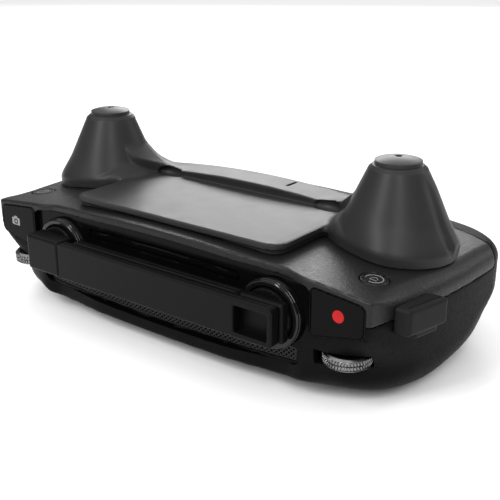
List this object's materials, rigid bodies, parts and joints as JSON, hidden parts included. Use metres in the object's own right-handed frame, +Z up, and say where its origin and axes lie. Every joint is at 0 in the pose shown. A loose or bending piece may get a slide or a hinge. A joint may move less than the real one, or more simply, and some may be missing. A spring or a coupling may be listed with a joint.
{
  "type": "radio transmitter controller",
  "caption": "Folding handheld drone controller with two sticks under a clip-on two-cone guard, folded flat aerials, shoulder buttons, knurled dials and fold-out phone clamps.",
  "frame": {"origin": "on the flat underside the controller rests on, below the middle of its face, midway between the sticks", "axes": "+X along the width, towards the record button end; -Y towards the aerial side; +Z up through the sticks and the cones"},
  "size_m": [0.1477, 0.0804, 0.056],
  "materials": {
    "case_plastic": "fine leathery grain, matte",
    "gloss_panel": "gloss black",
    "grille_mesh": "matte",
    "black_chrome": "black chrome, polished",
    "steel": "satin",
    "aerial_plastic": "fine matte",
    "dial_metal": "dark anodised, knurled",
    "button_plastic": "satin",
    "display_glass": "gloss, opaque dark",
    "board": "solder mask",
    "battery_wrap": "shrink film",
    "gimbal_frame": "moulded",
    "stick_aluminium": "turned, satin",
    "guard_plastic": "satin smooth",
    "cover_rubber": "matte"
  },
  "bodies": {
    "chassis": {"upper_shell": "case_plastic", "lower_shell": "case_plastic", "front_bezel": "gloss_panel", "front_grille": "grille_mesh", "left_hinge_ring": "black_chrome", "right_hinge_ring": "black_chrome", "left_hinge_pin": "steel", "right_hinge_pin": "steel", "gimbal_dial_axle": "steel", "settings_dial_axle": "steel", "display_lens": "display_glass", "display_module": "board", "main_board": "board", "battery_pack": "battery_wrap", "speaker": "button_plastic", "usb_port": "steel", "push_switches": "button_plastic", "case_screws": "steel", "left_gimbal_housing": "gimbal_frame", "right_gimbal_housing": "gimbal_frame", "left_gimbal_springs": "steel", "right_gimbal_springs": "steel", "left_clamp_pin": "steel", "right_clamp_pin": "steel"},
    "front_aerial": {"front_aerial_knuckle": "aerial_plastic", "front_aerial_blade": "aerial_plastic"},
    "rear_aerial": {"rear_aerial_knuckle": "aerial_plastic", "rear_aerial_blade": "aerial_plastic"},
    "record_button": {"record_button": "gloss_panel"},
    "shutter_button": {"shutter_button": "gloss_panel"},
    "gimbal_dial": {"gimbal_dial": "dial_metal"},
    "settings_dial": {"settings_dial": "dial_metal"},
    "home_button": {"home_button": "button_plastic"},
    "power_button": {"power_button": "button_plastic"},
    "pause_button": {"pause_button": "button_plastic"},
    "five_way_button": {"five_way_button": "button_plastic"},
    "right_under_button": {"right_under_button": "button_plastic"},
    "left_under_button": {"left_under_button": "button_plastic"},
    "mode_switch": {"mode_switch": "button_plastic"},
    "left_yoke": {"left_gimbal_yoke": "gimbal_frame"},
    "right_yoke": {"right_gimbal_yoke": "gimbal_frame"},
    "left_stick": {"left_stick_post": "button_plastic", "left_stick_knob": "stick_aluminium"},
    "right_stick": {"right_stick_post": "button_plastic", "right_stick_knob": "stick_aluminium"},
    "stick_guard": {"stick_guard": "guard_plastic"},
    "port_cover": {"port_cover": "cover_rubber"},
    "left_clamp": {"left_clamp_arm": "case_plastic", "left_clamp_pad": "cover_rubber"},
    "right_clamp": {"right_clamp_arm": "case_plastic", "right_clamp_pad": "cover_rubber"}
  },
  "joints": [
    {"name": "front_aerial_fold", "type": "hinge", "parent": "chassis", "child": "front_aerial", "pos_m": [-0.038, -0.039, 0.0212], "axis": [0, -1, 0], "range_deg": [0, 150]},
    {"name": "rear_aerial_fold", "type": "hinge", "parent": "chassis", "child": "rear_aerial", "pos_m": [0.038, -0.0375, 0.0212], "axis": [0, 1, 0], "range_deg": [0, 150]},
    {"name": "record_press", "type": "slide", "parent": "chassis", "child": "record_button", "axis": [0, 1, 0], "range_m": [0, 0.0009], "stiffness_N_per_m": 600},
    {"name": "shutter_press", "type": "slide", "parent": "chassis", "child": "shutter_button", "axis": [0, 1, 0], "range_m": [0, 0.0009], "stiffness_N_per_m": 600},
    {"name": "gimbal_dial_turn", "type": "hinge", "parent": "chassis", "child": "gimbal_dial", "pos_m": [0.0574, -0.0296, 0.01365], "axis": [0, 0, 1], "range_deg": [-25, 25], "stiffness_Nm_per_rad": 0.01},
    {"name": "settings_dial_turn", "type": "hinge", "parent": "chassis", "child": "settings_dial", "pos_m": [-0.0574, -0.0296, 0.01365], "axis": [0, 0, 1], "continuous": true},
    {"name": "home_press", "type": "slide", "parent": "chassis", "child": "home_button", "axis": [0, 0, -1], "range_m": [0, 0.0006], "stiffness_N_per_m": 600},
    {"name": "power_press", "type": "slide", "parent": "chassis", "child": "power_button", "axis": [0, 0, -1], "range_m": [0, 0.0006], "stiffness_N_per_m": 600},
    {"name": "pause_press", "type": "slide", "parent": "chassis", "child": "pause_button", "axis": [0, 0, -1], "range_m": [0, 0.0005], "stiffness_N_per_m": 600},
    {"name": "five_way_press", "type": "slide", "parent": "chassis", "child": "five_way_button", "axis": [0, 0, -1], "range_m": [0, 0.0005], "stiffness_N_per_m": 600},
    {"name": "right_under_press", "type": "slide", "parent": "chassis", "child": "right_under_button", "axis": [0, 0, 1], "range_m": [0, 0.0007], "stiffness_N_per_m": 600},
    {"name": "left_under_press", "type": "slide", "parent": "chassis", "child": "left_under_button", "axis": [0, 0, 1], "range_m": [0, 0.0007], "stiffness_N_per_m": 600},
    {"name": "mode_slide", "type": "slide", "parent": "chassis", "child": "mode_switch", "axis": [0, 1, 0], "range_m": [-0.0025, 0.0025]},
    {"name": "left_stick_pitch", "type": "hinge", "parent": "chassis", "child": "left_yoke", "pos_m": [-0.0518, 0.0005, 0.0265], "axis": [1, 0, 0], "range_deg": [-14, 14], "stiffness_Nm_per_rad": 0.02},
    {"name": "left_stick_roll", "type": "hinge", "parent": "left_yoke", "child": "left_stick", "pos_m": [-0.0518, 0.0005, 0.0265], "axis": [0, 1, 0], "range_deg": [-14, 14], "stiffness_Nm_per_rad": 0.02},
    {"name": "right_stick_pitch", "type": "hinge", "parent": "chassis", "child": "right_yoke", "pos_m": [0.0518, 0.0005, 0.0265], "axis": [1, 0, 0], "range_deg": [-14, 14], "stiffness_Nm_per_rad": 0.02},
    {"name": "right_stick_roll", "type": "hinge", "parent": "right_yoke", "child": "right_stick", "pos_m": [0.0518, 0.0005, 0.0265], "axis": [0, 1, 0], "range_deg": [-14, 14], "stiffness_Nm_per_rad": 0.02},
    {"name": "guard_lift", "type": "slide", "parent": "chassis", "child": "stick_guard", "axis": [0, 0, 1], "range_m": [0, 0.045]},
    {"name": "port_cover_pull", "type": "slide", "parent": "chassis", "child": "port_cover", "axis": [1, 0, 0], "range_m": [0, 0.015]},
    {"name": "left_clamp_swing", "type": "hinge", "parent": "chassis", "child": "left_clamp", "pos_m": [-0.0575, 0.0235, 0.0095], "axis": [0, 0, 1], "range_deg": [0, 95]},
    {"name": "right_clamp_swing", "type": "hinge", "parent": "chassis", "child": "right_clamp", "pos_m": [0.0575, 0.0235, 0.0095], "axis": [0, 0, -1], "range_deg": [0, 95]}
  ]
}
